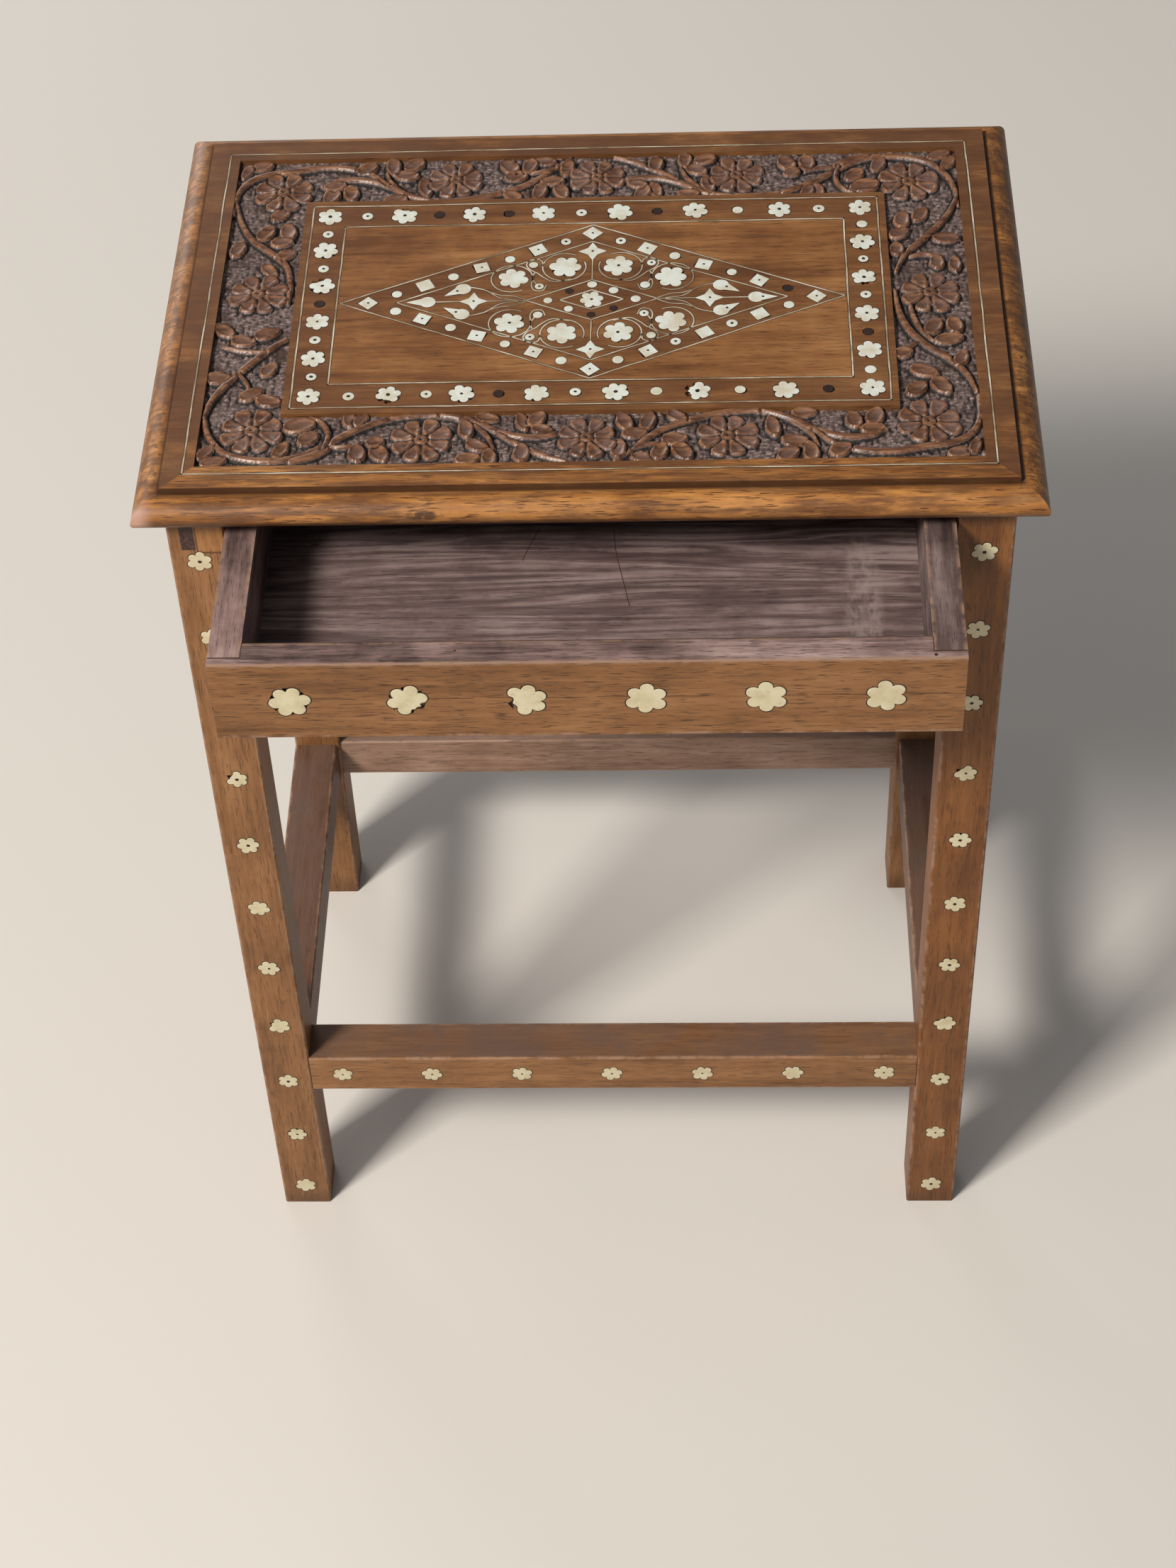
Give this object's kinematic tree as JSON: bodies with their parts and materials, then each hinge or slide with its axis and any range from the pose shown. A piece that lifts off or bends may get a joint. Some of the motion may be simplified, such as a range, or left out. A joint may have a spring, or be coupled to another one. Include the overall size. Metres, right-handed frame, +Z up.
{
  "type": "inlaid side table with drawer",
  "caption": "Small wooden side table on square legs with stretchers, a moulded top with a carved border, bone and wire inlay, and a drawer that slides out at the front",
  "frame": {"origin": "on the floor, midway between the feet", "axes": "X to the right along the drawer front, Y from the front to the back, Z up"},
  "size_m": [0.341, 0.2993, 0.46],
  "materials": {
    "sheesham": "worn polish",
    "raw_wood": "sawn, unpolished",
    "bone": "scraped bone, stands in as a smooth plastic",
    "brass_wire": "filed flush, dulled",
    "iron": "rusted cut nail"
  },
  "bodies": {
    "table": {"apron_back": "sheesham", "apron_left": "sheesham", "apron_right": "sheesham", "border_wire": "brass_wire", "diamond_dots": "bone", "diamond_flowers": "bone", "diamond_inner_wire": "brass_wire", "diamond_leaves": "bone", "diamond_outer_wire": "brass_wire", "diamond_seeds": "bone", "diamond_squares": "bone", "diamond_stars": "bone", "drawer_guide_left": "raw_wood", "drawer_guide_right": "raw_wood", "drawer_kicker_left": "raw_wood", "drawer_kicker_right": "raw_wood", "drawer_runner_left": "raw_wood", "drawer_runner_right": "raw_wood", "drawer_stop_left": "raw_wood", "drawer_stop_right": "raw_wood", "front_top_rail": "sheesham", "heart_flower": "bone", "heart_inner_wire": "brass_wire", "heart_outer_wire": "brass_wire", "kicker_nails": "iron", "leg_back_left": "sheesham", "leg_back_right": "sheesham", "leg_flowers_left": "bone", "leg_flowers_right": "bone", "leg_front_left": "sheesham", "leg_front_right": "sheesham", "panel_dots": "bone", "panel_flowers": "bone", "panel_inner_wire": "brass_wire", "panel_outer_wire": "brass_wire", "stretcher_back": "sheesham", "stretcher_flowers": "bone", "stretcher_front": "sheesham", "stretcher_left": "sheesham", "stretcher_right": "sheesham", "top_board": "sheesham"},
    "drawer": {"drawer_front": "sheesham", "drawer_side_left": "raw_wood", "drawer_side_right": "raw_wood", "drawer_back": "raw_wood", "drawer_bottom": "raw_wood", "drawer_flowers": "bone", "drawer_nails": "iron"}
  },
  "joints": [
    {"name": "drawer_slide", "type": "slide", "parent": "table", "child": "drawer", "axis": [0, -1, 0], "range_m": [-0.0728, 0.06]}
  ]
}
